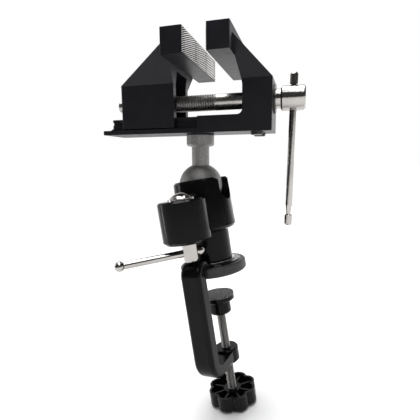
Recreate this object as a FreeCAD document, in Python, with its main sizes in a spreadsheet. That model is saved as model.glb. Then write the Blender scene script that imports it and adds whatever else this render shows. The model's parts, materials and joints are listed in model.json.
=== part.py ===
import FreeCAD, Part
import Sketcher
import math
import os
from types import SimpleNamespace

# Clamp-on bench vise: a C-clamp carries a post with a ball socket, and the ball's stud carries a small
# two-jaw vise. Millimetres, +Z up along the post. The origin is the centre of the foot's underside, the
# face that rests on the bench. The clamp's spine stands on the -Y side, the socket's notch opens to +X.
# The vise is drawn in its own frame, X along the screw and Z up from the bed's underside, with the stud's
# axis at x = 0, and one shared placement tilts and turns it on the ball.

os.makedirs("parts", exist_ok=True)

doc = FreeCAD.newDocument("bench_vise")
Vector = FreeCAD.Vector
Rotation = FreeCAD.Rotation

# ---------------------------------------------------------------- driving dimensions
SIZES = {
    # vise
    "jaw_length": 70.0,
    "jaw_thickness": 12.4,
    "jaw_top": 53.3,
    "jaw_height": 13.9,
    "jaw_gap": 13.3,
    "grip_x": 0.9,
    "saddle_setback": 1.2,
    "wall_setback": 2.6,
    "column_depth": 26.2,
    "column_top": 29.5,
    "moving_length": 35.4,
    "wall_length": 17.1,
    "flare_depth": 58.0,
    "flare_top": 49.0,
    "bed_top": 9.8,
    "plate_thickness": 2.7,
    "plate_left": 61.8,
    "rail_left": 57.0,
    "block_start": 2.0,
    "rail_width": 18.0,
    "way_depth": 1.0,
    "way_low": 6.3,
    "way_height": 1.8,
    "jaw_lift": 0.7,
    "screw_height": 19.1,
    "screw_radius": 5.0,
    "screw_tail": 55.8,
    "thread_end": 11.0,
    "head_radius": 7.3,
    "head_length": 14.0,
    "collar_length": 3.0,
    "collar_radius": 5.7,
    "thrust_washer": 1.0,
    "thrust_washer_radius": 8.4,
    "ring_thickness": 1.1,
    "bar_radius": 2.05,
    "bar_neck_radius": 1.4,
    "bar_length": 77.0,
    "cap_radius": 2.4,
    "cap_length": 6.9,
    "stud_screw_reach": 14.0,
    "stud_screw_radius": 3.0,
    "stud_screw_head_radius": 5.6,
    "plate_screw_x": 37.0,
    "plate_screw_spread": 7.0,
    "plate_screw_radius": 2.0,
    "plate_screw_head_radius": 3.6,
    "plate_screw_head": 1.9,
    # ball joint
    "ball_height": 57.0,
    "ball_radius": 14.0,
    "stud_reach": 32.6,
    "neck_radius": 5.6,
    "stud_collar_radius": 8.8,
    "stud_collar_height": 6.6,
    "socket_radius": 18.8,
    "socket_rim_radius": 17.7,
    "socket_bottom": 26.5,
    "socket_rim": 60.5,
    "post_radius": 13.4,
    "notch_width": 14.4,
    "notch_bottom": 46.0,
    "lug_offset": 26.8,
    "lug_radius": 14.5,
    "lug_bottom": 25.0,
    "lug_top": 50.0,
    "pin_height": 46.4,
    "pin_radius": 3.0,
    "seat_radius": 8.5,
    "seat_depth": 2.0,
    "draw_radius": 6.0,
    "draw_tip_radius": 3.0,
    "bolt_radius": 2.5,
    "bolt_washer": 1.0,
    "bolt_washer_radius": 8.2,
    "bolt_dome_radius": 7.1,
    "nut_flats": 8.0,
    "nut_height": 11.5,
    "lock_bar_radius": 2.2,
    "lock_bar_span": 46.8,
    "lock_bar_short_end": 6.2,
    "lock_bar_height": 18.7,
    "lock_tip_radius": 1.6,
    "lock_ball_radius": 3.0,
    # clamp
    "foot_radius": 21.5,
    "foot_pad_height": 1.6,
    "foot_plate_radius": 18.4,
    "foot_pad_wall": 6.4,
    "foot_plate_top": 7.0,
    "friction_washer": 0.8,
    "swivel_radius": 3.0,
    "swivel_head_radius": 5.3,
    "swivel_head": 2.8,
    "swivel_reach": 15.2,
    "spine_width": 13.4,
    "spine_thickness": 8.0,
    "spine_outer": 32.0,
    "shoulder_top": 12.5,
    "frame_bottom": -62.0,
    "boss_radius": 8.0,
    "boss_top": -52.8,
    "clamp_screw_radius": 2.9,
    "clamp_tip_radius": 3.9,
    "clamp_tip_depth": 2.6,
    "pad_top": -15.8,
    "pad_disc_radius": 10.5,
    "pad_disc_thickness": 4.2,
    "pad_face_thickness": 1.2,
    "pad_body_radius": 7.3,
    "pad_body_bottom": -28.8,
    "knob_radius": 16.0,
    "knob_top": -80.6,
    "knob_height": 8.4,
    "knob_wall": 1.4,
    "knob_floor": 2.4,
    "knob_nut": 3.0,
    "knob_nut_radius": 5.6,
    # fits and finish
    "running_gap": 0.05,
    "ease": 0.8,
}

# How the vise stands on the ball: tilted towards the notch, then turned about its own stud.
REST_TILT = 9.3
REST_SPIN = 11.0
LOCK_BAR_ANGLE = 223.0
# The tommy bar hangs from its upper cap and leans in its loose hole.
BAR_LEAN = 1.0
KNOB_LOBES = 8
# Longer than any piece, for cuts that go right through.
BEYOND = 90.0


class Size:
    """A length known both as a number and as an expression of the spreadsheet's cells."""

    def __init__(self, value, text):
        self.value = value
        self.text = text

    def __add__(self, other):
        other = as_size(other)
        return Size(self.value + other.value, f"({self.text} + {other.text})")

    def __sub__(self, other):
        other = as_size(other)
        return Size(self.value - other.value, f"({self.text} - {other.text})")

    def __mul__(self, number):
        return Size(self.value * number, f"({self.text} * {number})")

    def __truediv__(self, number):
        return Size(self.value / number, f"({self.text} / {number})")

    def __neg__(self):
        return Size(-self.value, f"(0 - {self.text})")


def as_size(number):
    return number if isinstance(number, Size) else Size(float(number), str(float(number)))


sheet = doc.addObject("Spreadsheet::Sheet", "Dims")
for row, (alias, value) in enumerate(SIZES.items(), start=1):
    sheet.set(f"A{row}", alias)
    sheet.set(f"B{row}", str(value))
    sheet.setAlias(f"B{row}", alias)
doc.recompute()
d = SimpleNamespace(**{alias: Size(value, f"Dims.{alias}") for alias, value in SIZES.items()})

ALONG_X = Rotation(Vector(0, 1, 0), 90)
ALONG_Y = Rotation(Vector(1, 0, 0), -90)
UPRIGHT = Rotation()


# ---------------------------------------------------------------- helpers
def bind(thing, prop, size):
    thing.setExpression(prop, as_size(size).text)


def place(thing, base, rotation=UPRIGHT):
    thing.Placement = FreeCAD.Placement(Vector(0, 0, 0), rotation)
    for axis, size in zip("xyz", base):
        bind(thing, f"Placement.Base.{axis}", size)
    return thing


def cylinder(name, radius, height, base=(0, 0, 0), rotation=UPRIGHT):
    thing = doc.addObject("Part::Cylinder", name)
    bind(thing, "Radius", radius)
    bind(thing, "Height", height)
    return place(thing, base, rotation)


def cone(name, radius1, radius2, height, base=(0, 0, 0), rotation=UPRIGHT):
    thing = doc.addObject("Part::Cone", name)
    bind(thing, "Radius1", radius1)
    bind(thing, "Radius2", radius2)
    bind(thing, "Height", height)
    return place(thing, base, rotation)


def sphere(name, radius, base=(0, 0, 0)):
    thing = doc.addObject("Part::Sphere", name)
    bind(thing, "Radius", radius)
    return place(thing, base)


def box(name, low, high):
    thing = doc.addObject("Part::Box", name)
    for prop, a, b in zip(("Length", "Width", "Height"), low, high):
        bind(thing, prop, as_size(b) - a)
    return place(thing, low)


def prism(name, sides, circumradius, height, base=(0, 0, 0), rotation=UPRIGHT):
    thing = doc.addObject("Part::Prism", name)
    thing.Polygon = sides
    bind(thing, "Circumradius", circumradius)
    bind(thing, "Height", height)
    return place(thing, base, rotation)


def fuse(name, *things):
    thing = doc.addObject("Part::MultiFuse", name)
    thing.Shapes = list(things)
    thing.Refine = True
    return thing


def cut(name, base, *tools):
    thing = doc.addObject("Part::Cut", name)
    thing.Base = base
    thing.Tool = tools[0] if len(tools) == 1 else fuse(name + "_tools", *tools)
    return thing


def new_body(name):
    return doc.addObject("PartDesign::Body", name)


def plane_of(body, role):
    return next(item for item in body.Origin.OriginFeatures if item.Role == role)


def fix_coordinate(sketch, kind, line, size):
    """Hold one coordinate of a line's start, counted from the sketch's origin."""
    size = as_size(size)
    if abs(size.value) < 1e-9:
        axis = -2 if kind == "DistanceX" else -1
        sketch.addConstraint(Sketcher.Constraint("PointOnObject", line, 1, axis))
        return
    if size.value > 0:
        index = sketch.addConstraint(Sketcher.Constraint(kind, -1, 1, line, 1, size.value))
    else:
        size = -size
        index = sketch.addConstraint(Sketcher.Constraint(kind, line, 1, -1, 1, size.value))
    sketch.setExpression(f"Constraints[{index}]", size.text)


def new_sketch(body, name, role):
    sketch = body.newObject("Sketcher::SketchObject", name)
    sketch.AttachmentSupport = (plane_of(body, role), [""])
    sketch.MapMode = "FlatFace"
    return sketch


def outline(body, name, role, *loops):
    """A sketch of closed straight-sided loops, each corner held at its two coordinates."""
    sketch = new_sketch(body, name, role)
    for points in loops:
        corners = [Vector(as_size(a).value, as_size(b).value, 0) for a, b in points]
        first = sketch.GeometryCount
        for start, end in zip(corners, corners[1:] + corners[:1]):
            sketch.addGeometry(Part.LineSegment(start, end), False)
        last = sketch.GeometryCount - 1
        for line in range(first, last + 1):
            following = line + 1 if line < last else first
            sketch.addConstraint(Sketcher.Constraint("Coincident", line, 2, following, 1))
        for line, (across, up) in enumerate(points, start=first):
            fix_coordinate(sketch, "DistanceX", line, across)
            fix_coordinate(sketch, "DistanceY", line, up)
    return sketch


def rectangle(low, high):
    return [(low[0], low[1]), (high[0], low[1]), (high[0], high[1]), (low[0], high[1])]


def pad(body, name, sketch, length):
    """A pad to both sides of the sketch's plane."""
    feature = body.newObject("PartDesign::Pad", name)
    feature.Profile = sketch
    feature.Midplane = True
    bind(feature, "Length", length)
    doc.recompute()
    return feature


def pocket(body, name, sketch, length):
    """A pocket to both sides of the sketch's plane, checked to remove material."""
    before = body.Shape.Volume
    feature = body.newObject("PartDesign::Pocket", name)
    feature.Profile = sketch
    feature.Midplane = True
    bind(feature, "Length", length)
    doc.recompute()
    if body.Shape.Volume >= before - 1e-6:
        raise SystemExit(f"{body.Name}: {name} removed nothing")
    return feature


def turned(name, profile, base=(0, 0, 0), rotation=UPRIGHT):
    """A body turned about its own Z axis from (radius, height) corners."""
    body = new_body(name)
    sketch = outline(body, name + "_profile", "XZ_Plane", profile)
    feature = body.newObject("PartDesign::Revolution", name + "_turn")
    feature.Profile = sketch
    feature.ReferenceAxis = (sketch, ["V_Axis"])
    feature.Angle = 360
    doc.recompute()
    place(body, base, rotation)
    return body


def edges_where(shape, wanted):
    return [f"Edge{i}" for i, edge in enumerate(shape.Edges, start=1) if wanted(edge)]


def round_edges(body, name, radius, wanted):
    base = body.Tip
    names = edges_where(base.Shape, wanted)
    if not names:
        raise SystemExit(f"{body.Name}: {name} found no edge")
    feature = body.newObject("PartDesign::Fillet", name)
    feature.Base = (base, names)
    feature.Radius = radius
    doc.recompute()
    return feature


def chamfer_edges(body, name, size, wanted):
    base = body.Tip
    feature = body.newObject("PartDesign::Chamfer", name)
    feature.Base = (base, edges_where(base.Shape, wanted))
    feature.Size = size
    doc.recompute()
    return feature


def along(edge, direction):
    """True for a straight edge that runs along the given axis."""
    if edge.Curve.TypeId != "Part::GeomLine":
        return False
    return abs(edge.Curve.Direction.dot(direction)) > 0.999


X_AXIS = Vector(1, 0, 0)
Y_AXIS = Vector(0, 1, 0)
Z_AXIS = Vector(0, 0, 1)

# ---------------------------------------------------------------- placements
tilt = Rotation(Y_AXIS, REST_TILT)
spin = Rotation(Z_AXIS, REST_SPIN)
ball_centre = Vector(0, 0, d.ball_height.value)
ball_pose = FreeCAD.Placement(ball_centre, tilt.multiply(spin))
vise_pose = ball_pose.multiply(FreeCAD.Placement(Vector(0, 0, d.stud_reach.value), UPRIGHT))

nodes = {}


def keep(name, thing, pose=None):
    """Register a finished piece under its node name, posed after it is drawn."""
    thing.Label = name
    if pose is not None:
        doc.recompute()
        own = thing.Placement
        for axis in "xyz":
            thing.setExpression(f"Placement.Base.{axis}", None)
        thing.Placement = pose.multiply(own)
    nodes[name] = thing


# ---------------------------------------------------------------- vise: lengths along the screw
grip = d.grip_x
moving_head_back = grip - d.jaw_thickness
moving_front = moving_head_back - d.saddle_setback
moving_back = moving_front - d.moving_length
fixed_grip = grip + d.jaw_gap
fixed_head_back = fixed_grip + d.jaw_thickness
wall_inner = fixed_head_back + d.wall_setback
wall_outer = wall_inner + d.wall_length
head_bottom = d.jaw_top - d.jaw_height
stud_screw_top = d.bed_top - 0.6
way_high = d.way_low + d.way_height


def flare_sides():
    """Front-view loops outside the flare that widens from a column to its jaw head."""
    loops = []
    for side in (1, -1):
        inner = d.column_depth / 2 * side
        outer = d.flare_depth / 2 * side
        loops.append([
            (inner, -1), (inner, d.column_top), (outer, d.flare_top), (outer, BEYOND),
            (BEYOND * side / 2, BEYOND), (BEYOND * side / 2, -1),
        ])
    return loops


def jaw_head(body, name, front, back):
    """The full-width gripping head on top of a jaw."""
    low, high = sorted((front, back), key=lambda size: size.value)
    sketch = outline(body, name + "_profile", "XZ_Plane", rectangle((low, head_bottom), (high, d.jaw_top)))
    pad(body, name, sketch, d.jaw_length)


def moving_jaw():
    body = new_body("moving_jaw")
    foot = d.plate_thickness + d.jaw_lift
    side = outline(body, "saddle_side", "XZ_Plane", [
        (moving_back, foot), (moving_back, d.column_top), (moving_head_back, d.flare_top),
        (moving_head_back, head_bottom), (moving_front, d.column_top), (moving_front, foot),
    ])
    pad(body, "saddle", side, d.flare_depth)
    pocket(body, "flare", outline(body, "flare_sides", "YZ_Plane", *flare_sides()), BEYOND * 2)
    jaw_head(body, "head", grip, moving_head_back)

    # the channel that straddles the rail, with a tongue on each side that runs in the rail's way
    gap = d.running_gap * 3
    wide = d.rail_width / 2 + gap
    narrow = wide - d.way_depth + gap
    corners = [
        (wide, -1), (wide, d.way_low + gap), (narrow, d.way_low + gap), (narrow, way_high - gap),
        (wide, way_high - gap), (wide, d.bed_top + gap * 2),
    ]
    mirrored = [(-across, up) for across, up in reversed(corners)]
    pocket(body, "channel", outline(body, "channel_end", "YZ_Plane", corners + mirrored), BEYOND * 2)

    # the saddle is open at the front down to the block that carries the screw's thread
    hollow = outline(body, "hollow_side", "XZ_Plane",
                     rectangle((moving_front - 9.0, d.bed_top), (grip + 1, head_bottom - 2.5)))
    pocket(body, "hollow", hollow, d.rail_width)

    bore = new_sketch(body, "bore_end", "YZ_Plane")
    bore_circle(bore, d.screw_radius + d.running_gap, d.screw_height)
    pocket(body, "bore", bore, BEYOND * 2)
    round_edges(body, "ease_head", 0.7, lambda e: along(e, Z_AXIS) and e.Length > 10
                and abs(abs(e.CenterOfMass.y) - d.jaw_length.value / 2) < 0.1)
    chamfer_edges(body, "ease_column", 0.7, lambda e: along(e, Z_AXIS) and e.Length > 10
                and abs(abs(e.CenterOfMass.y) - d.column_depth.value / 2) < 0.1
                and e.CenterOfMass.x < moving_back.value + 1)
    return body


def bore_circle(sketch, radius, height, across=0):
    """A circle in a sketch, centred at a height above the sketch's origin."""
    centre = Vector(as_size(across).value, as_size(height).value, 0)
    circle = sketch.addGeometry(Part.Circle(centre, Z_AXIS, as_size(radius).value), False)
    index = sketch.addConstraint(Sketcher.Constraint("Radius", circle, as_size(radius).value))
    sketch.setExpression(f"Constraints[{index}]", as_size(radius).text)
    index = sketch.addConstraint(Sketcher.Constraint("DistanceY", -1, 1, circle, 3, as_size(height).value))
    sketch.setExpression(f"Constraints[{index}]", as_size(height).text)
    sketch.addConstraint(Sketcher.Constraint("PointOnObject", circle, 3, -2))
    return circle


def vise_base():
    body = new_body("vise_base")
    side = outline(body, "wall_side", "XZ_Plane", [
        (d.block_start, d.plate_thickness), (d.block_start, d.bed_top), (wall_inner, d.bed_top),
        (wall_inner, d.column_top - 3), (fixed_head_back, head_bottom), (fixed_head_back, d.flare_top),
        (wall_outer, d.column_top), (wall_outer, d.plate_thickness),
    ])
    pad(body, "wall", side, d.flare_depth)
    pocket(body, "flare", outline(body, "flare_sides", "YZ_Plane", *flare_sides()), BEYOND * 2)
    jaw_head(body, "head", fixed_grip, fixed_head_back)

    rail = outline(body, "rail_side", "XZ_Plane", [
        (-d.rail_left - 2.7, d.plate_thickness), (-d.rail_left, d.plate_thickness + 1.6),
        (-d.rail_left, d.bed_top), (d.block_start + 1, d.bed_top), (d.block_start + 1, d.plate_thickness),
    ])
    pad(body, "rail", rail, d.rail_width)
    ways = []
    for sign in (1, -1):
        outer = (d.rail_width / 2 + 1) * sign
        inner = (d.rail_width / 2 - d.way_depth) * sign
        ways.append([(outer, d.way_low), (outer, way_high), (inner, way_high), (inner, d.way_low)])
    way_sketch = outline(body, "ways_end", "YZ_Plane", *ways)
    way_sketch.AttachmentOffset = FreeCAD.Placement(Vector(0, 0, -d.rail_left.value), UPRIGHT)
    pocket(body, "ways", way_sketch, (d.rail_left + d.block_start) * 2)

    bore = new_sketch(body, "bore_end", "YZ_Plane")
    bore_circle(bore, d.screw_radius + d.running_gap, d.screw_height)
    pocket(body, "bore", bore, BEYOND * 2)
    recess = new_sketch(body, "ring_recess_end", "YZ_Plane")
    bore_circle(recess, d.head_radius + 0.4, d.screw_height)
    recess.AttachmentOffset = FreeCAD.Placement(Vector(0, 0, wall_inner.value), UPRIGHT)
    pocket(body, "ring_recess", recess, (d.ring_thickness + 0.5) * 2)
    round_edges(body, "bed_corner", 3.0, lambda e: along(e, Y_AXIS)
                and abs(e.CenterOfMass.x - wall_inner.value) < 0.1
                and abs(e.CenterOfMass.z - d.bed_top.value) < 0.1)
    round_edges(body, "ease_head", 0.7, lambda e: along(e, Z_AXIS) and e.Length > 10
                and abs(abs(e.CenterOfMass.y) - d.jaw_length.value / 2) < 0.1)
    return cut("vise_base_drilled", body, stud_screw_hole("stud_screw_seat"), *plate_screw_pair("wall_hole"))


def stud_screw():
    """A countersunk screw down through the bed into the ball's stud."""
    top = stud_screw_top
    return turned("stud_screw", [
        (0, top - d.stud_screw_reach), (d.stud_screw_radius, top - d.stud_screw_reach),
        (d.stud_screw_radius, top - 3.0), (d.stud_screw_head_radius, top - 0.4),
        (d.stud_screw_head_radius, top), (0, top),
    ])


def stud_screw_hole(name):
    """The screw's clearance hole and countersink, open at the top of the rail."""
    gap = 0.1
    top = stud_screw_top
    return turned(name, [
        (0, -2), (d.stud_screw_radius + gap, -2), (d.stud_screw_radius + gap, top - 3.0),
        (d.stud_screw_head_radius + gap, top - 0.4), (d.stud_screw_head_radius + gap, top + 2), (0, top + 2),
    ])


def plate_screw_pair(name):
    """Two cap screws up through the bed plate into the fixed wall."""
    radius = d.plate_screw_radius
    head = d.plate_screw_head_radius
    return [turned(f"{name}_{i}", [
        (0, -d.plate_screw_head), (head - 0.5, -d.plate_screw_head), (head, -(d.plate_screw_head - 0.5)),
        (head, 0), (radius, 0), (radius, 12), (0, 12),
    ], base=(d.plate_screw_x, d.plate_screw_spread * side, 0)) for i, side in enumerate((-1, 1))]


def bed_plate():
    body = new_body("bed_plate")
    side = outline(body, "plate_side", "XZ_Plane",
                   rectangle((-d.plate_left, 0), (wall_outer, d.plate_thickness)))
    pad(body, "plate", side, d.column_depth)
    boss = cylinder("plate_boss", d.stud_collar_radius, 1.0, (0, 0, -1))
    whole = fuse("bed_plate_whole", body, boss)
    return cut("bed_plate_drilled", whole, stud_screw_hole("plate_stud_hole"),
               *plate_screw_pair("plate_hole"))


keep("moving_jaw", moving_jaw(), vise_pose)
keep("vise_base", vise_base(), vise_pose)
keep("bed_plate", bed_plate(), vise_pose)
keep("stud_screw", stud_screw(), vise_pose)
keep("plate_screws", fuse("plate_screws", *plate_screw_pair("plate_screw")), vise_pose)


# ---------------------------------------------------------------- vise: screw and tommy bar
def on_screw(x):
    """The base of a piece turned about the screw's axis."""
    return (x, 0, d.screw_height)


collar_start = wall_outer + d.thrust_washer + d.running_gap
head_start = collar_start + d.collar_length
head_middle = head_start + d.head_length / 2
tail = -d.screw_tail
ring_start = wall_inner + 0.45
shank_radius = d.screw_radius - d.running_gap
RING_SEAT_RADIUS = 4.1


def lead_screw():
    """Threaded over its left part, plain where it turns in the wall, reduced at the tail."""
    end = head_start + 3.0 - tail
    thread_end = d.thread_end - tail
    groove = ring_start - tail
    seat = RING_SEAT_RADIUS
    return turned("lead_screw", [
        (0, 0), (3.2, 0), (3.7, 0.6), (3.7, 3.4), (d.screw_radius, 4.8), (d.screw_radius, thread_end),
        (shank_radius, thread_end + 0.6), (shank_radius, groove), (seat, groove),
        (seat, groove + d.ring_thickness + 0.1), (shank_radius, groove + d.ring_thickness + 0.1),
        (shank_radius, end), (0, end),
    ], on_screw(tail), ALONG_X)


def screw_head():
    length = d.head_length
    blank = turned("screw_head_blank", [
        (0, 0), (d.head_radius - 1, 0), (d.head_radius, 1), (d.head_radius, length - 1),
        (d.head_radius - 1, length), (0, length),
    ], on_screw(head_start), ALONG_X)
    socket = cylinder("screw_head_socket", shank_radius, 3.0, on_screw(head_start), ALONG_X)
    hole = cylinder("screw_head_hole", d.bar_radius + 0.2, d.head_radius * 3,
                    (head_middle, 0, d.screw_height - d.head_radius * 1.5))
    pin = head_pin_tool("head_pin_hole")
    return cut("screw_head_drilled", blank, socket, hole, pin)


def head_pin_tool(name):
    """The cross pin that fixes the head to the end of the screw."""
    base = (head_start + 1.6, -d.head_radius * 0.8, d.screw_height)
    return cylinder(name, 0.9, d.head_radius * 1.6, base, ALONG_Y)


def washer(name, inner, outer, thickness, base, rotation):
    return turned(name, [(inner, 0), (outer, 0), (outer, thickness), (inner, thickness)], base, rotation)


keep("lead_screw", cut("lead_screw_drilled", lead_screw(), head_pin_tool("screw_pin_hole")), vise_pose)
keep("screw_head", screw_head(), vise_pose)
keep("head_pin", head_pin_tool("head_pin"), vise_pose)
keep("screw_collar", washer("screw_collar", shank_radius, d.collar_radius, d.collar_length,
                            on_screw(collar_start), ALONG_X), vise_pose)
keep("thrust_washer", washer("thrust_washer", d.screw_radius + d.running_gap, d.thrust_washer_radius,
                             d.thrust_washer, on_screw(wall_outer), ALONG_X), vise_pose)
keep("retaining_ring", washer("retaining_ring", RING_SEAT_RADIUS, 6.6, d.ring_thickness,
                              on_screw(ring_start + 0.05), ALONG_X), vise_pose)

bar_top = d.screw_height + d.head_radius + 0.1
bar_bottom = bar_top - d.bar_length
lean_about = Vector(head_middle.value, 0, d.screw_height.value)
lean = FreeCAD.Placement(Vector(0, 0, 0), Rotation(Y_AXIS, BAR_LEAN), lean_about)


def tommy_bar():
    """A straight bar whose reduced ends carry the caps."""
    neck = d.bar_neck_radius
    length = d.bar_length
    return turned("tommy_bar", [
        (0, -3), (neck, -3), (neck, 1.2), (d.bar_radius, 6.5), (d.bar_radius, length - 0.2),
        (neck, length + 0.3), (neck, length + 4), (0, length + 4),
    ], (head_middle, 0, bar_bottom))


def bar_cap(name, base_height, rotation):
    """A bored cap pressed on a reduced end of the tommy bar."""
    length = d.cap_length
    neck = d.bar_neck_radius
    radius = d.cap_radius
    return turned(name, [
        (0, 4), (neck, 4), (neck, 0.3), (radius - 0.3, 0.3), (radius, 0.7), (radius, length - 0.8),
        (radius - 0.6, length), (0, length),
    ], (head_middle, 0, base_height), rotation)


bar_pose = vise_pose.multiply(lean)
keep("tommy_bar", tommy_bar(), bar_pose)
keep("tommy_bar_caps", fuse("tommy_bar_caps", bar_cap("cap_high", bar_top, UPRIGHT),
                            bar_cap("cap_low", bar_bottom + 1.0, Rotation(X_AXIS, 180))), bar_pose)


# ---------------------------------------------------------------- ball joint
def ball_stud():
    collar_top = d.stud_reach - 1.0
    collar_low = collar_top - d.stud_collar_height
    radius = d.stud_collar_radius
    ball = sphere("stud_ball", d.ball_radius)
    shank = turned("stud_shank", [
        (0, 0), (d.neck_radius, d.ball_radius - 4.0), (d.neck_radius, collar_low - 0.8),
        (d.neck_radius + 0.8, collar_low), (radius - 0.9, collar_low), (radius, collar_low + 0.9),
        (radius, collar_top), (0, collar_top),
    ])
    hole = cylinder("stud_tapping", d.stud_screw_radius + d.running_gap, 12.0,
                    (0, 0, d.stud_reach + stud_screw_top - d.stud_screw_reach - 0.2))
    return cut("ball_stud_tapped", fuse("ball_stud_blank", ball, shank), hole)


keep("ball_stud", ball_stud(), ball_pose)

lug_y = -d.lug_offset
seat_bottom = d.ball_height - d.ball_radius - d.seat_depth
cavity = d.ball_radius + d.running_gap
centre = (0, 0, d.ball_height)
cone_low = d.pin_height - 5.4
cone_high = d.lug_top


def draw_cone(name, gap):
    """The tapered shoulder that pushes the pressure pin when the draw bolt is pulled down."""
    length = cone_high - cone_low
    return cone(name, d.draw_tip_radius + gap, d.draw_radius + gap, length, (0, lug_y, cone_low))


def pin_blank(name, gap):
    return cylinder(name, d.pin_radius + gap, 20.0, (0, lug_y, d.pin_height), ALONG_Y)


def socket_head():
    foot = d.foot_plate_top + d.friction_washer
    shell = turned("socket_shell", [
        (0, foot), (d.post_radius - 0.6, foot), (d.post_radius, foot + 0.6), (d.post_radius, d.socket_bottom),
        (d.socket_radius - 1.2, d.socket_bottom + 2.0), (d.socket_radius, d.socket_bottom + 3.6),
        (d.socket_rim_radius, d.socket_rim - 1.2), (d.socket_rim_radius - 1.2, d.socket_rim),
        (0, d.socket_rim),
    ])
    lug = turned("socket_lug", [
        (0, d.lug_bottom), (d.lug_radius - 1.6, d.lug_bottom), (d.lug_radius, d.lug_bottom + 1.6),
        (d.lug_radius, d.lug_top - 1.0), (d.lug_radius - 1.0, d.lug_top), (0, d.lug_top),
    ], (0, lug_y, 0))
    solid = fuse("socket_solid", shell, lug)
    notch_round = cylinder("notch_round", d.notch_width / 2, 40.0,
                           (0, 0, d.notch_bottom + d.notch_width / 2), ALONG_X)
    notch_slot = box("notch_slot", (0, -d.notch_width / 2, d.notch_bottom + d.notch_width / 2),
                     (40, d.notch_width / 2, d.socket_rim + 5))
    mouth = prism("notch_mouth", 4, d.notch_width * 0.74, 40.0, (0, 0, d.socket_rim + 1.5), ALONG_X)
    ball_room = sphere("ball_room", cavity, centre)
    seat_room = cylinder("seat_room", d.seat_radius, d.ball_radius, (0, 0, seat_bottom))
    bolt_hole = cylinder("bolt_hole", d.bolt_radius + 0.1, 30.0, (0, lug_y, d.lug_bottom - 1))
    screw_hole = cylinder("swivel_tapping", d.swivel_radius, d.swivel_reach + 3, (0, 0, 0))
    return cut("socket_head_bored", solid, notch_round, notch_slot, mouth, ball_room, seat_room, bolt_hole,
               draw_cone("cone_room", 0.1), pin_blank("pin_room", 0.05), screw_hole)


def ball_seat():
    blank = cylinder("ball_seat_blank", d.seat_radius - 0.05, 4.6, (0, 0, seat_bottom))
    return cut("ball_seat_dished", blank, sphere("seat_dish", cavity, centre),
               pin_blank("seat_pin_room", 0.05))


def pressure_pin():
    return cut("pressure_pin_shaped", pin_blank("pin_blank", 0), sphere("pin_dish", cavity, centre),
               draw_cone("pin_slope", 0.05))


def draw_bolt():
    """A domed head on the lug, the tapered shoulder, and the threaded end that the nut pulls."""
    washer_top = d.lug_top + d.bolt_washer
    dome = sphere("bolt_dome", d.bolt_dome_radius + 1.9, (0, lug_y, washer_top - 5.5))
    trim = cylinder("bolt_dome_trim", d.bolt_dome_radius, 8.0, (0, lug_y, washer_top))
    head = doc.addObject("Part::MultiCommon", "bolt_head")
    head.Shapes = [dome, trim]
    neck = cylinder("bolt_neck", d.draw_radius, washer_top + 0.5 - d.lug_top, (0, lug_y, d.lug_top))
    shank_low = d.lug_bottom - 3.7
    shank = cylinder("bolt_shank", d.bolt_radius, cone_low + 1 - shank_low, (0, lug_y, shank_low))
    return fuse("draw_bolt_whole", head, neck, draw_cone("bolt_cone", 0), shank)


keep("socket_head", socket_head())
keep("ball_seat", ball_seat())
keep("pressure_pin", pressure_pin())
keep("draw_bolt", draw_bolt())
keep("bolt_washer", washer("bolt_washer", d.draw_radius + 0.1, d.bolt_washer_radius, d.bolt_washer,
                           (0, lug_y, d.lug_top), UPRIGHT))

# ---------------------------------------------------------------- locking nut and its cross bar
nut_low = d.lug_bottom - d.nut_height
bar_turn = Rotation(Z_AXIS, LOCK_BAR_ANGLE)
bar_along = bar_turn.multiply(ALONG_X)


def bar_point(reach):
    """A point on the cross bar, counted from the nut's axis towards the bar's long end."""
    angle = math.radians(LOCK_BAR_ANGLE)
    return (as_size(reach) * math.cos(angle), lug_y + as_size(reach) * math.sin(angle), d.lock_bar_height)


def lock_nut():
    blank = prism("lock_nut_blank", 6, d.nut_flats / math.sqrt(3), d.nut_height, (0, lug_y, nut_low),
                  Rotation(Z_AXIS, LOCK_BAR_ANGLE + 30))
    thread = cylinder("lock_nut_thread", d.bolt_radius + 0.05, 8.0, (0, lug_y, d.lug_bottom - 4.0))
    hole = cylinder("lock_nut_hole", d.lock_bar_radius + 0.05, 24.0, bar_point(-12.0), bar_along)
    round_off = cone("lock_nut_chamfer", d.nut_flats * 0.5, d.nut_flats * 1.3, d.nut_height,
                     (0, lug_y, nut_low))
    eased = doc.addObject("Part::MultiCommon", "lock_nut_eased")
    eased.Shapes = [blank, round_off]
    return cut("lock_nut_drilled", eased, thread, hole)


def lock_bar():
    """A rod with a thinner length at each end for the balls."""
    run = d.lock_bar_span
    near = -d.lock_bar_short_end
    bare_end = 2.6
    rod = cylinder("lock_bar_rod", d.lock_bar_radius, run - bare_end * 2,
                   bar_point(near + bare_end), bar_along)
    tips = cylinder("lock_bar_tips", d.lock_tip_radius, run + 1.0, bar_point(near - 0.5), bar_along)
    return fuse("lock_bar_whole", rod, tips)


def bar_ball(name, reach, outward):
    """A ball bored to fit the reduced end of the cross bar."""
    ball = sphere(name + "_ball", d.lock_ball_radius, bar_point(reach))
    bore = 6.5
    start = reach - (0.5 if outward < 0 else bore - 0.5)
    return cut(name, ball, cylinder(name + "_bore", d.lock_tip_radius, bore, bar_point(start), bar_along))


keep("lock_nut", lock_nut())
keep("lock_bar", lock_bar())
far_end = d.lock_bar_span - d.lock_bar_short_end
keep("lock_bar_balls", fuse("lock_bar_balls", bar_ball("near_ball", -d.lock_bar_short_end, -1),
                            bar_ball("far_ball", far_end, 1)))


# ---------------------------------------------------------------- clamp
swivel_low = d.foot_pad_height + 0.2


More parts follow.
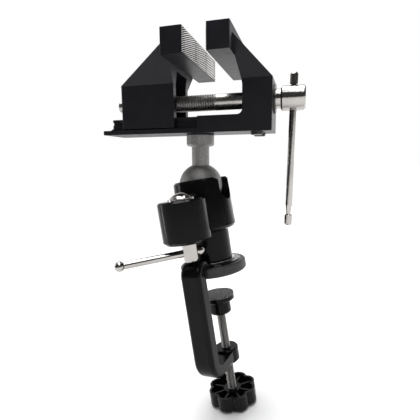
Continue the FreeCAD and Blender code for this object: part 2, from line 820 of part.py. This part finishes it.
def clamp_frame():
    """One bent arm: the foot plate at the top, the spine, and the boss the clamp screw runs in."""
    body = new_body("clamp_frame")
    outer = -d.spine_outer
    inner = outer + d.spine_thickness
    plate_low = d.foot_pad_height
    beam_low = d.foot_pad_wall + 0.3
    sketch = outline(body, "frame_side", "YZ_Plane", [
        (0, plate_low), (0, d.foot_plate_top), (-d.foot_plate_radius + 2, d.foot_plate_top),
        (-d.foot_radius - 1, d.shoulder_top), (outer, d.shoulder_top), (outer, d.frame_bottom),
        (0, d.frame_bottom), (0, d.boss_top - 1.4), (inner, d.boss_top - 1.4), (inner, beam_low),
        (-d.foot_plate_radius + 1, beam_low), (-d.foot_plate_radius + 1, plate_low),
    ])
    pad(body, "spine", sketch, d.spine_width)

    def corner(edge, y, z):
        middle = edge.CenterOfMass
        return along(edge, X_AXIS) and abs(middle.y - y.value) < 0.1 and abs(middle.z - z.value) < 0.1

    round_edges(body, "lower_bend", 14.0, lambda e: corner(e, outer, d.frame_bottom))
    round_edges(body, "upper_bend", 9.0, lambda e: corner(e, outer, d.shoulder_top))
    round_edges(body, "throat_bends", 3.5, lambda e: corner(e, inner, d.boss_top - 1.4))
    round_edges(body, "spine_edges", 2.6, lambda e: along(e, Z_AXIS) and e.Length > 30
                and abs(abs(e.CenterOfMass.x) - d.spine_width.value / 2) < 0.1
                and abs(e.CenterOfMass.y - outer.value) < 0.1)
    plate = turned("foot_plate", [
        (0, plate_low), (d.foot_plate_radius, plate_low), (d.foot_plate_radius, d.foot_plate_top - 0.5),
        (d.foot_plate_radius - 0.5, d.foot_plate_top), (0, d.foot_plate_top),
    ])
    boss = turned("screw_boss", [
        (0, d.frame_bottom), (d.boss_radius - 0.8, d.frame_bottom), (d.boss_radius, d.frame_bottom + 0.8),
        (d.boss_radius, d.boss_top - 0.5), (d.boss_radius - 0.5, d.boss_top), (0, d.boss_top),
    ])
    solid = fuse("clamp_frame_solid", body, plate, boss)
    screw_bore = cylinder("clamp_bore", d.clamp_screw_radius + d.running_gap, 20.0,
                          (0, 0, d.frame_bottom - 5))
    head_room = cylinder("swivel_head_room", d.swivel_head_radius + 0.3, swivel_low + d.swivel_head + 0.2)
    shank_room = cylinder("swivel_shank_room", d.swivel_radius + d.running_gap, 10.0)
    post_room = cylinder("post_room", d.post_radius + 1.4, 20.0, (0, 0, d.foot_plate_top))
    return cut("clamp_frame_bored", solid, screw_bore, head_room, shank_room, post_room)


keep("clamp_frame", clamp_frame())


def foot_pad():
    """A rubber cup under the foot plate, whose wall wraps the plate's edge."""
    inner = d.foot_plate_radius
    outer = d.foot_radius
    return turned("foot_pad", [
        (0, 0), (outer - d.ease, 0), (outer, d.ease), (outer, d.foot_pad_wall - d.ease),
        (outer - d.ease, d.foot_pad_wall), (inner, d.foot_pad_wall), (inner, d.foot_pad_height),
        (0, d.foot_pad_height),
    ])


keep("foot_pad", foot_pad())


def swivel_screw():
    """The flat-headed screw that holds the post on the foot and lets it turn."""
    head_top = swivel_low + d.swivel_head
    return turned("swivel_screw", [
        (0, swivel_low), (d.swivel_head_radius, swivel_low), (d.swivel_head_radius, head_top),
        (d.swivel_radius, head_top), (d.swivel_radius, swivel_low + d.swivel_reach),
        (0, swivel_low + d.swivel_reach),
    ])


keep("friction_washer", washer("friction_washer", d.swivel_radius + 0.3, d.post_radius + 1.2,
                               d.friction_washer, (0, 0, d.foot_plate_top), UPRIGHT))
keep("swivel_screw", swivel_screw())


# ---------------------------------------------------------------- clamp screw, pad and knob
disc_low = d.pad_top - d.pad_disc_thickness
face_low = d.pad_top - d.pad_face_thickness
tip_centre = disc_low - d.clamp_tip_depth
knob_low = d.knob_top - d.knob_height


def clamp_screw():
    """A straight screw with a ball tip that the pad swivels on."""
    rod_low = knob_low + 0.4
    rod = cylinder("clamp_rod", d.clamp_screw_radius, tip_centre - rod_low, (0, 0, rod_low))
    return fuse("clamp_screw_whole", rod, sphere("clamp_tip", d.clamp_tip_radius, (0, 0, tip_centre)))


def swivel_pad():
    blank = turned("swivel_pad_blank", [
        (0, d.pad_body_bottom), (d.pad_body_radius - 0.8, d.pad_body_bottom),
        (d.pad_body_radius, d.pad_body_bottom + 0.8), (d.pad_body_radius, disc_low),
        (d.pad_disc_radius - 0.4, disc_low), (d.pad_disc_radius, disc_low + 0.4),
        (d.pad_disc_radius, face_low), (0, face_low),
    ])
    tip_room = sphere("tip_room", d.clamp_tip_radius + 0.1, (0, 0, tip_centre))
    rod_room = cone("rod_room", d.clamp_screw_radius + 1.2, d.clamp_screw_radius + 0.3,
                    tip_centre - d.pad_body_bottom + 0.1, (0, 0, d.pad_body_bottom - 0.1))
    return cut("swivel_pad_bored", blank, tip_room, rod_room)


def star_knob():
    """A dished knob with round lobes, a hub, and a rib from the hub to every lobe."""
    low = knob_low
    lobe = d.knob_radius * 0.39
    ring = d.knob_radius - lobe
    wall = d.knob_wall

    def star(name, shrink, base):
        parts = [cylinder(name + "_core", ring, d.knob_height, (0, 0, base))]
        for i in range(KNOB_LOBES):
            angle = math.radians(360.0 / KNOB_LOBES * i)
            middle = (ring * math.cos(angle), ring * math.sin(angle), base)
            parts.append(cylinder(f"{name}_lobe_{i}", lobe - shrink, d.knob_height, middle))
        return fuse(name, *parts)

    ribs = []
    for i in range(KNOB_LOBES):
        rib = box(f"knob_rib_{i}", (0, -0.6, low + 2.0), (ring + lobe - wall, 0.6, d.knob_top - 1.6))
        doc.recompute()
        for axis in "xyz":
            rib.setExpression(f"Placement.Base.{axis}", None)
        turn = FreeCAD.Placement(Vector(0, 0, 0), Rotation(Z_AXIS, 360.0 / KNOB_LOBES * i))
        rib.Placement = turn.multiply(rib.Placement)
        ribs.append(rib)
    shell = cut("knob_shell", star("knob_star", 0, low), star("knob_dish", wall, low + d.knob_floor))
    hub = cone("knob_hub", 6.4, 5.8, d.knob_height - 1.2, (0, 0, low))
    whole = fuse("knob_whole", shell, hub, *ribs)
    return cut("star_knob_bored", whole, cylinder("knob_bore", d.clamp_screw_radius, 20, (0, 0, low - 1)),
               nut_blank("knob_nut_room"))


def nut_blank(name):
    return prism(name, 6, d.knob_nut_radius, d.knob_nut, (0, 0, knob_low))


def knob_nut():
    """The hexagonal nut moulded into the knob's underside."""
    return cut("knob_nut_bored", nut_blank("knob_nut_blank"),
               cylinder("knob_nut_bore", d.clamp_screw_radius, 20, (0, 0, knob_low - 1)))


keep("clamp_screw", clamp_screw())
keep("swivel_pad", swivel_pad())
keep("pad_face", cylinder("pad_face", d.pad_disc_radius, d.pad_face_thickness, (0, 0, face_low)))
keep("star_knob", star_knob())
keep("knob_nut", knob_nut())

# ---------------------------------------------------------------- check and write
doc.recompute()
failed = [item.Name for item in doc.Objects if "Invalid" in item.State or "Error" in item.State]
if failed:
    raise SystemExit(f"failed objects: {failed}")
for name, thing in nodes.items():
    if thing.Shape.isNull() or not thing.Shape.isValid():
        raise SystemExit(f"{name}: bad shape")
for name, thing in nodes.items():
    thing.Shape.exportStep(f"parts/{name}.step")
    print(f"{name:18s} solids {len(thing.Shape.Solids)} volume {thing.Shape.Volume:9.1f}")
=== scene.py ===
import bmesh
import bpy
import json
import math
from mathutils import Matrix, Vector

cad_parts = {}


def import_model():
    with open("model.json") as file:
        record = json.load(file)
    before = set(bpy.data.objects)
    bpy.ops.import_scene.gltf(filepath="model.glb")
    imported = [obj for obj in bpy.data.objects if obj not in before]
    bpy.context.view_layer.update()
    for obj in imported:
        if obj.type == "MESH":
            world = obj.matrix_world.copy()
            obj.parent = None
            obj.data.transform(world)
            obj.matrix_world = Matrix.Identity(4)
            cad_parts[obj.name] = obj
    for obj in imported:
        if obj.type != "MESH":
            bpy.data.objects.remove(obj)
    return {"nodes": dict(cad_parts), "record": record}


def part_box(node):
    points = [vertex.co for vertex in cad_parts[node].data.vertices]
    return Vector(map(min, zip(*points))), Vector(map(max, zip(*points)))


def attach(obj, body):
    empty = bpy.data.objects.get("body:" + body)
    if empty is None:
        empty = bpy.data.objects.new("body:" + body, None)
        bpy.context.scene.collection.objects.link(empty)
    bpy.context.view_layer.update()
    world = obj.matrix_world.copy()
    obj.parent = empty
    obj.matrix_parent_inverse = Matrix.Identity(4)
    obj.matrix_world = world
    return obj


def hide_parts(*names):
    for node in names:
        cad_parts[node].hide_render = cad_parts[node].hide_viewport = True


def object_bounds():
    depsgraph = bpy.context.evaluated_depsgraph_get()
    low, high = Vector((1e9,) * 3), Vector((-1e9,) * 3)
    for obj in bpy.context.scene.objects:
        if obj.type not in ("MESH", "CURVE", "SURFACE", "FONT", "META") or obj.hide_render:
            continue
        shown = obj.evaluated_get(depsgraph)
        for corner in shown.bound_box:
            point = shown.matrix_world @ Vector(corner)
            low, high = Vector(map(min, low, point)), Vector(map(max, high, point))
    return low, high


# Looks for the clamp-on bench vise. Metres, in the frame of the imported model. The vise has its own frame,
# X along the screw and Z away from the bed, whose place comes from the fixed jaw's grip mount below.

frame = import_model()
cad_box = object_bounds()
nodes = frame["nodes"]

MM = 0.001


# ---------------------------------------------------------------- node helpers
class Shader:
    """A material under construction, with short calls for the nodes that the recipes below share."""

    def __init__(self, name):
        self.material = bpy.data.materials.new(name)
        self.material.use_nodes = True
        self.tree = self.material.node_tree
        self.surface = self.tree.nodes["Principled BSDF"]
        coordinates = self.tree.nodes.new("ShaderNodeTexCoord")
        self.place = coordinates.outputs["Object"]

    def node(self, kind, **inputs):
        node = self.tree.nodes.new(kind)
        for name, value in inputs.items():
            self.feed(node, name.replace("_", " "), value)
        return node

    def feed(self, node, socket, value):
        target = node.inputs[socket]
        if isinstance(value, bpy.types.NodeSocket):
            self.tree.links.new(value, target)
        else:
            target.default_value = value

    def set(self, **values):
        for name, value in values.items():
            self.feed(self.surface, name.replace("_", " "), value)

    def noise(self, scale, detail=3.0, roughness=0.5, vector=None):
        node = self.node("ShaderNodeTexNoise", Scale=scale, Detail=detail, Roughness=roughness)
        self.tree.links.new(vector or self.place, node.inputs["Vector"])
        return node.outputs["Fac"]

    def cells(self, scale):
        node = self.node("ShaderNodeTexVoronoi", Scale=scale)
        self.tree.links.new(self.place, node.inputs["Vector"])
        return node.outputs["Distance"]

    def stretched(self, scale):
        node = self.node("ShaderNodeMapping", Scale=scale)
        self.tree.links.new(self.place, node.inputs["Vector"])
        return node.outputs["Vector"]

    def ramp(self, factor, *stops):
        node = self.node("ShaderNodeValToRGB")
        self.tree.links.new(factor, node.inputs["Fac"])
        points = node.color_ramp.elements
        while len(points) < len(stops):
            points.new(0.5)
        for point, (position, colour) in zip(points, stops):
            point.position = position
            point.color = (*colour, 1.0)
        return node.outputs["Color"]

    def spread(self, factor, low, high):
        node = self.node("ShaderNodeMapRange")
        node.inputs["To Min"].default_value = low
        node.inputs["To Max"].default_value = high
        self.tree.links.new(factor, node.inputs["Value"])
        return node.outputs["Result"]

    def bump(self, height, distance, strength=1.0):
        node = self.node("ShaderNodeBump", Strength=strength, Distance=distance)
        self.tree.links.new(height, node.inputs["Height"])
        self.tree.links.new(node.outputs["Normal"], self.surface.inputs["Normal"])


def grey(level, warmth=0.0):
    return (level * (1 + warmth), level, level * (1 - warmth))


# ---------------------------------------------------------------- materials
def black_enamel():
    """Thick glossy enamel over a casting: orange peel, and slight waves left by the casting."""
    shader = Shader("black_enamel")
    shader.set(Base_Color=shader.ramp(shader.noise(60.0), (0.3, grey(0.003)), (0.7, grey(0.005, -0.06))),
               Roughness=shader.spread(shader.noise(240.0, 4.0), 0.10, 0.22),
               Specular_IOR_Level=0.22, IOR=1.33)
    shader.bump(shader.noise(420.0, 2.0), 0.00012, 0.35)
    return shader.material


def black_satin():
    """The vise's blue-black coating: satin, with fine grain and faint handling marks."""
    shader = Shader("black_satin")
    grain = shader.noise(900.0, 4.0, 0.65)
    shader.set(Base_Color=shader.ramp(shader.noise(45.0, 4.0), (0.3, (0.0065, 0.0065, 0.0085)),
                                      (0.7, (0.0105, 0.0105, 0.0135))),
               Roughness=shader.spread(shader.noise(160.0, 4.0), 0.36, 0.50),
               Specular_IOR_Level=0.35, IOR=1.35)
    shader.bump(grain, 0.00006, 0.5)
    return shader.material


def cast_aluminium():
    """As cast and tumbled: grainy, with darker pits."""
    shader = Shader("cast_aluminium")
    grain = shader.noise(1100.0, 6.0, 0.7)
    shader.set(Base_Color=shader.ramp(grain, (0.25, grey(0.12)), (0.5, grey(0.24, 0.02)),
                                      (0.75, grey(0.34, 0.02))),
               Metallic=0.85, Roughness=shader.spread(grain, 0.42, 0.62))
    shader.bump(grain, 0.00018, 0.8)
    return shader.material


def turned_steel(name, level, warmth, rough_low, rough_high, rings):
    """Plated turned steel with fine tool marks across the given stretch of the texture."""
    shader = Shader(name)
    marks = shader.noise(160.0, 3.0, 0.6, shader.stretched(rings))
    shader.set(Base_Color=shader.ramp(shader.noise(70.0, 4.0), (0.3, grey(level * 0.82, warmth)),
                                      (0.7, grey(level, warmth))),
               Metallic=1.0, Roughness=shader.spread(marks, rough_low, rough_high))
    shader.bump(marks, 0.00004, 0.4)
    return shader.material


def rubber(name, level, speckle):
    """Moulded rubber, with lighter crumbs in it when it is a pressed sheet."""
    shader = Shader(name)
    if speckle:
        crumbs = shader.cells(900.0)
        colour = shader.ramp(crumbs, (0.16, grey(level * 6.0)), (0.34, grey(level * 1.6)),
                             (0.6, grey(level * 0.7)))
        shader.bump(crumbs, 0.0002, 0.7)
    else:
        mottle = shader.noise(500.0, 5.0, 0.6)
        colour = shader.ramp(mottle, (0.3, grey(level * 0.8)), (0.7, grey(level * 1.25)))
        shader.bump(mottle, 0.00010, 0.6)
    shader.set(Base_Color=colour, Roughness=shader.spread(shader.noise(300.0), 0.42, 0.62), IOR=1.5)
    return shader.material


def moulded_plastic(name, colour, rough_low, rough_high, specular=0.25):
    shader = Shader(name)
    bright = tuple(channel * 1.35 for channel in colour)
    shader.set(Base_Color=shader.ramp(shader.noise(90.0), (0.3, colour), (0.7, bright)),
               Roughness=shader.spread(shader.noise(260.0, 4.0), rough_low, rough_high),
               Specular_IOR_Level=specular, IOR=1.38)
    shader.bump(shader.noise(500.0, 3.0), 0.00008, 0.4)
    return shader.material


materials = {
    "black_enamel": black_enamel(),
    "black_satin": black_satin(),
    "cast_aluminium": cast_aluminium(),
    "steel": turned_steel("steel", 0.42, 0.04, 0.2, 0.36, (1.0, 1.0, 6.0)),
    "nickel": turned_steel("nickel", 0.45, 0.04, 0.08, 0.2, (6.0, 1.0, 1.0)),
    "black_steel": turned_steel("black_steel", 0.06, 0.0, 0.3, 0.5, (1.0, 6.0, 1.0)),
    "rubber": rubber("rubber", 0.016, False),
    "pad_rubber": rubber("pad_rubber", 0.05, True),
    "black_plastic": moulded_plastic("black_plastic", (0.005, 0.005, 0.0055), 0.12, 0.26),
    "nylon": moulded_plastic("nylon", (0.62, 0.6, 0.54), 0.35, 0.5),
    "brass": turned_steel("brass", 0.62, 0.25, 0.2, 0.35, (1.0, 6.0, 1.0)),
}

# The grooves between the grip's teeth get a dull black with no reflection: painted shade for the recesses
# between the teeth.
groove_painted_shade = moulded_plastic("groove_painted_shade", (0.006, 0.006, 0.007), 0.75, 0.9, 0.0)

# Threads hold oil and grime, so they are darker and duller than the plain shank.
bare_steel = turned_steel("bare_steel", 0.75, 0.02, 0.25, 0.4, (1.0, 6.0, 1.0))
thread_steel = turned_steel("thread_steel", 0.30, 0.03, 0.34, 0.5, (1.0, 1.0, 6.0))

for part in frame["record"]["subparts"]:
    mesh = nodes[part["node"]].data
    mesh.materials.clear()
    mesh.materials.append(materials[part["material_slot"]])


# ---------------------------------------------------------------- the vise's own frame
mounts = {mount["name"]: mount for mount in frame["record"]["mounts"]}
joints = {joint["name"]: joint for joint in frame["record"]["behaviour"]["joints"]}
grip_fixed = Vector(mounts["fixed_jaw_grip"]["pos_m"])
grip_moving = Vector(mounts["moving_jaw_grip"]["pos_m"])
screw_axis = Vector(joints["vise_screw_turn"]["axis"]).normalized()
screw_point = Vector(joints["vise_screw_turn"]["pos_m"])
up_axis = Vector(joints["vise_spin"]["axis"]).normalized()
side_axis = up_axis.cross(screw_axis)


# ---------------------------------------------------------------- mesh pieces
def new_piece(name, mesh, slot_name, body, *replaced):
    piece = bpy.data.objects.new(name, mesh)
    bpy.context.collection.objects.link(piece)
    mesh.materials.append(materials[slot_name])
    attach(piece, body)
    if replaced:
        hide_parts(*replaced)
    return piece


def smooth_by_angle(mesh, degrees):
    mesh.shade_smooth()
    mesh.set_sharp_from_angle(angle=math.radians(degrees))


def threaded_rod(name, profile, base, direction, pitch, stretches, sides=48, steps=12):
    """A turned rod from (height, radius) corners, with a rolled thread cut into the given stretches.

    A thread is one helical groove: the radius follows how far a point is along the screw and around it.
    """
    heights = []
    for (start, _), (end, _) in zip(profile, profile[1:]):
        threaded = any(low <= start and end <= high for low, high in stretches)
        count = max(1, round((end - start) / pitch * steps)) if threaded else 1
        heights += [start + (end - start) * i / count for i in range(count)]
    heights.append(profile[-1][0])
    depth = pitch * 0.5

    def radius_at(height, angle):
        plain = profile[-1][1]
        for (start, r0), (end, r1) in zip(profile, profile[1:]):
            if start <= height <= end and end > start:
                plain = r0 + (r1 - r0) * (height - start) / (end - start)
                break
        for low, high in stretches:
            if low < height < high:
                turn = (height / pitch - angle / math.tau) % 1.0
                flank = 1.0 - abs(turn * 2 - 1)
                fade = min(1.0, (height - low) / pitch, (high - height) / pitch)
                return plain - depth * fade * (1 - min(1.0, flank * 1.35))
        return plain

    frame_matrix = direction.to_track_quat("Z", "Y").to_matrix()
    shape = bmesh.new()
    rings = []
    for height in heights:
        ring = []
        for i in range(sides):
            angle = math.tau * i / sides
            radius = radius_at(height, angle)
            point = Vector((radius * math.cos(angle), radius * math.sin(angle), height))
            ring.append(shape.verts.new(base + frame_matrix @ point))
        rings.append(ring)
    for below, above, height in zip(rings, rings[1:], heights):
        threaded = any(low <= height < high for low, high in stretches)
        for i in range(sides):
            j = (i + 1) % sides
            face = shape.faces.new((below[i], below[j], above[j], above[i]))
            face.material_index = 1 if threaded else 0
    shape.faces.new(list(reversed(rings[0])))
    shape.faces.new(rings[-1])
    mesh = bpy.data.meshes.new(name)
    shape.to_mesh(mesh)
    shape.free()
    smooth_by_angle(mesh, 40)
    return mesh


SCREW_PITCH = 1.5 * MM
# Along the screw from the vise's middle: the joint's point on one side, the screw's tail on the other.
JOINT_REACH = 50.0
TAIL_REACH = 55.8
screw_tail = screw_point - screw_axis * (JOINT_REACH + TAIL_REACH) * MM
screw_profile = [(h * MM, r * MM) for h, r in (
    (0, 3.2), (0.5, 3.7), (3.4, 3.7), (4.6, 5.0), (66.8, 5.0), (67.4, 4.95), (85.45, 4.95), (85.46, 4.1),
    (86.65, 4.1), (86.66, 4.95), (109.0, 4.95))]
screw_mesh = threaded_rod("lead_screw_thread", screw_profile, screw_tail, screw_axis, SCREW_PITCH,
                          [(4.6 * MM, 66.8 * MM)])
new_piece("lead_screw_thread", screw_mesh, "steel", "screw", "lead_screw")
screw_mesh.materials.append(thread_steel)

clamp_low, clamp_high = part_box("clamp_screw")
CLAMP_PITCH = 1.0 * MM
tip_radius = 3.9 * MM
tip_centre = clamp_high.z - tip_radius
clamp_profile = [(0.0, 2.9 * MM), (tip_centre - clamp_low.z - 3.4 * MM, 2.9 * MM)]
for step in range(2, 13):
    around = math.pi * (step / 12.0)
    clamp_profile.append((tip_centre - clamp_low.z - tip_radius * math.cos(around),
                          max(0.05 * MM, tip_radius * math.sin(around))))
clamp_mesh = threaded_rod("clamp_screw_thread", clamp_profile, Vector((0, 0, clamp_low.z)), Vector((0, 0, 1)),
                          CLAMP_PITCH, [(0.0, clamp_profile[1][0])])
new_piece("clamp_screw_thread", clamp_mesh, "steel", "clamp_spindle", "clamp_screw")
clamp_mesh.materials.append(thread_steel)


def serrations(name, middle, outward, body):
    """The teeth of a grip face: slanting ridges, crossed by a second set of shallower grooves."""
    length = 69.0 * MM
    height = 13.2 * MM
    pitch = 1.1 * MM
    slant = 0.39
    depth = 0.4 * MM
    fine = 7
    across = int(length * slant / pitch) * fine
    upward = int(height / pitch) * fine

    def grooves(u, v):
        """1 in the middle of a groove, 0 halfway between grooves; the two directions differ in depth."""
        first = abs(((v - u * slant) / pitch) % 1.0 - 0.5) * 2
        second = abs(((v + u * slant) / pitch) % 1.0 - 0.5) * 2
        return max(first, second * 0.5)

    shape = bmesh.new()
    grid = []
    for row in range(upward + 1):
        line = []
        for column in range(across + 1):
            u = (column / across - 0.5) * length
            v = (row / upward - 0.5) * height
            edge = row in (0, upward) or column in (0, across)
            lift = -0.15 * MM if edge else depth * (1 - grooves(u, v) ** 2)
            line.append(shape.verts.new(middle + side_axis * u + up_axis * v + outward * lift))
        grid.append(line)
    for row, (low_line, high_line) in enumerate(zip(grid, grid[1:])):
        for i in range(across):
            face = shape.faces.new((low_line[i], low_line[i + 1], high_line[i + 1], high_line[i]))
            u = ((i + 0.5) / across - 0.5) * length
            v = ((row + 0.5) / upward - 0.5) * height
            # Groove faces take the dull black that paints their shade; crest faces take the bare steel.
            face.material_index = 1 if grooves(u, v) < 0.55 else 0
    mesh = bpy.data.meshes.new(name)
    shape.to_mesh(mesh)
    shape.free()
    piece = new_piece(name, mesh, "black_satin", body)
    # Slot 0 is the painted-shade black for the grooves.
    mesh.materials[0] = groove_painted_shade
    mesh.materials.append(bare_steel)
    return piece


serrations("fixed_grip_teeth", grip_fixed, -screw_axis, "vise")
serrations("moving_grip_teeth", grip_moving, screw_axis, "jaw")


# ---------------------------------------------------------------- studio
def soft_box(name, place, aim, width, height, power):
    light = bpy.data.lights.new(name, "AREA")
    light.shape = "RECTANGLE"
    light.size = width
    light.size_y = height
    light.energy = power
    lamp = bpy.data.objects.new(name, light)
    lamp.location = place
    lamp.rotation_euler = (Vector(aim) - Vector(place)).to_track_quat("-Z", "Y").to_euler()
    bpy.context.collection.objects.link(lamp)
    return lamp


BACKDROP = Vector((-0.46, 0.88, 0.0)).normalized()


def world():
    """White for the eye; for reflections it is bright towards the backdrop and dim on the other side."""
    world = bpy.data.worlds.new("studio")
    world.use_nodes = True
    tree = world.node_tree
    background = tree.nodes["Background"]
    background.inputs["Color"].default_value = (1.0, 1.0, 1.0, 1.0)
    place = tree.nodes.new("ShaderNodeTexCoord")
    facing = tree.nodes.new("ShaderNodeVectorMath")
    facing.operation = "DOT_PRODUCT"
    facing.inputs[1].default_value = BACKDROP
    falloff = tree.nodes.new("ShaderNodeMapRange")
    falloff.interpolation_type = "SMOOTHSTEP"
    for name, value in (("From Min", -0.15), ("From Max", 0.65), ("To Min", 0.06), ("To Max", 0.75)):
        falloff.inputs[name].default_value = value
    path = tree.nodes.new("ShaderNodeLightPath")
    choice = tree.nodes.new("ShaderNodeMix")
    choice.inputs["B"].default_value = 1.0
    tree.links.new(place.outputs["Generated"], facing.inputs[0])
    tree.links.new(facing.outputs["Value"], falloff.inputs["Value"])
    tree.links.new(falloff.outputs["Result"], choice.inputs["A"])
    tree.links.new(path.outputs["Is Camera Ray"], choice.inputs["Factor"])
    tree.links.new(choice.outputs["Result"], background.inputs["Strength"])
    bpy.context.scene.world = world


def studio():
    bpy.context.scene.view_settings.view_transform = "Standard"
    world()

    floor_mesh = bpy.data.meshes.new("floor")
    size = 4.0
    low = cad_box[0][2] - 0.002
    corners = [(-size, -size, low), (size, -size, low), (size, size, low), (-size, size, low)]
    floor_mesh.from_pydata(corners, [], [(0, 1, 2, 3)])
    floor = bpy.data.objects.new("floor", floor_mesh)
    bpy.context.collection.objects.link(floor)
    shader = Shader("floor")
    shader.set(Base_Color=shader.ramp(shader.noise(3.0), (0.3, grey(0.93)), (0.7, grey(0.95))), Roughness=0.8)
    floor_mesh.materials.append(shader.material)

    overhead = bpy.data.lights.new("overhead", "SUN")
    overhead.energy = 2.6
    overhead.angle = math.radians(40)
    lamp = bpy.data.objects.new("overhead", overhead)
    bpy.context.collection.objects.link(lamp)

    soft_box("key", (0.50, -0.55, 0.95), (0, 0, 0.0), 0.5, 0.5, 3.0)
    soft_box("top", (-0.1, 0.25, 1.0), (0, 0, 0.0), 0.9, 0.6, 3.0)
    soft_box("rim", (-0.75, -0.20, 0.25), (0, 0, 0.0), 0.08, 0.7, 1.2)
    soft_box("backdrop", (0.1, 1.3, 0.15), (0, 0, 0.05), 1.8, 0.7, 4.0)


def camera():
    """Where the camera stands and points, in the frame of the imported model."""
    right = Vector((0.8811, 0.4477, -0.1520))
    forward = Vector((-0.4615, 0.8843, -0.0706)).normalized()
    right = (right - forward * right.dot(forward)).normalized()
    up = right.cross(forward)
    data = bpy.data.cameras.new("camera")
    data.sensor_width = 36.0
    data.lens = 28.97
    data.clip_start = 0.01
    view = bpy.data.objects.new("camera", data)
    view.matrix_world = Matrix.Translation(Vector((105.52, -194.98, 55.65)) * MM) @ Matrix((
        (right.x, up.x, -forward.x), (right.y, up.y, -forward.y), (right.z, up.z, -forward.z))).to_4x4()
    bpy.context.collection.objects.link(view)
    bpy.context.scene.camera = view


studio()
camera()
